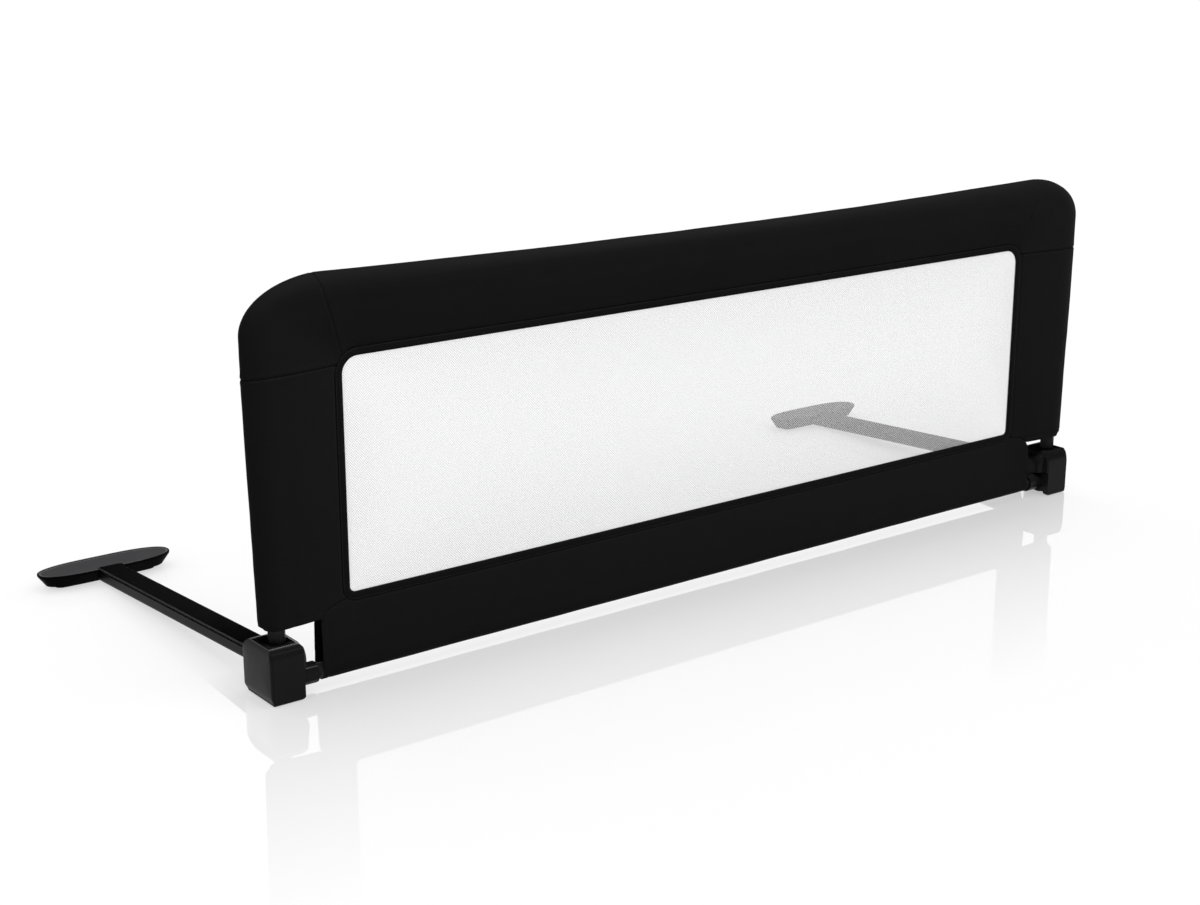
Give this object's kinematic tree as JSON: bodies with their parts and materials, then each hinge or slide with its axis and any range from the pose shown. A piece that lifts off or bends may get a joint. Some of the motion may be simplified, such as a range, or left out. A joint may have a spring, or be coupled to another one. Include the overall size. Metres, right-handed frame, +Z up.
{
  "type": "folding bed guard rail",
  "caption": "Folding bed guard rail: a tube frame in a dark fabric cover with a mesh window, on spring-loaded hinge casings with flat legs and oval feet that lie under the mattress",
  "frame": {"origin": "middle of the outer box, on the surface that the feet and casings stand on", "axes": "+Z up, +X along the guard to the right as seen from outside the bed, +Y towards the bed and the feet"},
  "size_m": [1.611, 0.604, 0.526],
  "materials": {
    "casing": "glossy black moulding",
    "moulding": "satin dark moulding",
    "foot": "fine grained dark moulding",
    "tube": "dark grey powder coat",
    "leg": "smooth black powder coat",
    "cover": "black woven cloth",
    "binding": "black binding tape",
    "net": "white fine mesh",
    "rubber": "matt",
    "steel": "plain"
  },
  "bodies": {
    "base": {"hinge_bracket_left": "moulding", "hinge_bracket_right": "moulding", "leg_tube_left": "leg", "leg_tube_right": "leg", "bracket_screw_left": "steel", "bracket_screw_right": "steel", "foot_screw_left": "steel", "foot_screw_right": "steel", "foot_plate_left": "foot", "foot_plate_right": "foot", "foot_sole_left": "rubber", "foot_sole_right": "rubber"},
    "pins": {"hinge_pin_left": "steel", "hinge_pin_right": "steel"},
    "guard": {"casing_body_left": "casing", "casing_body_right": "casing", "casing_cover_left": "casing", "casing_cover_right": "casing", "casing_screw_high_left": "steel", "casing_screw_high_right": "steel", "casing_screw_low_left": "steel", "casing_screw_low_right": "steel", "tube_collar_left": "rubber", "tube_collar_right": "rubber", "lift_spring_left": "steel", "lift_spring_right": "steel", "upright_tube_left": "tube", "upright_tube_right": "tube", "upright_plug_left": "moulding", "upright_plug_right": "moulding", "top_tube": "tube", "top_joint_spigot_left": "moulding", "top_joint_spigot_right": "moulding", "crossbar_left": "tube", "crossbar_right": "tube", "crossbar_spigot": "moulding", "crossbar_screw_left": "steel", "crossbar_screw_right": "steel", "side_sleeve_left": "cover", "side_sleeve_right": "cover", "corner_piece_left": "cover", "corner_piece_right": "cover", "top_band": "cover", "bottom_band": "cover", "window_binding": "binding", "window_net": "net"}
  },
  "joints": [
    {"name": "guard_fold", "type": "hinge", "parent": "base", "child": "pins", "pos_m": [0, -0.27955, 0.0434], "axis": [1, 0, 0], "range_deg": [0, 90]},
    {"name": "guard_lift", "type": "slide", "parent": "pins", "child": "guard", "axis": [0, 0, 1], "range_m": [0, 0.01], "stiffness_N_per_m": 800, "springref_m": -0.02, "deforming": ["lift_spring_left", "lift_spring_right"]}
  ]
}
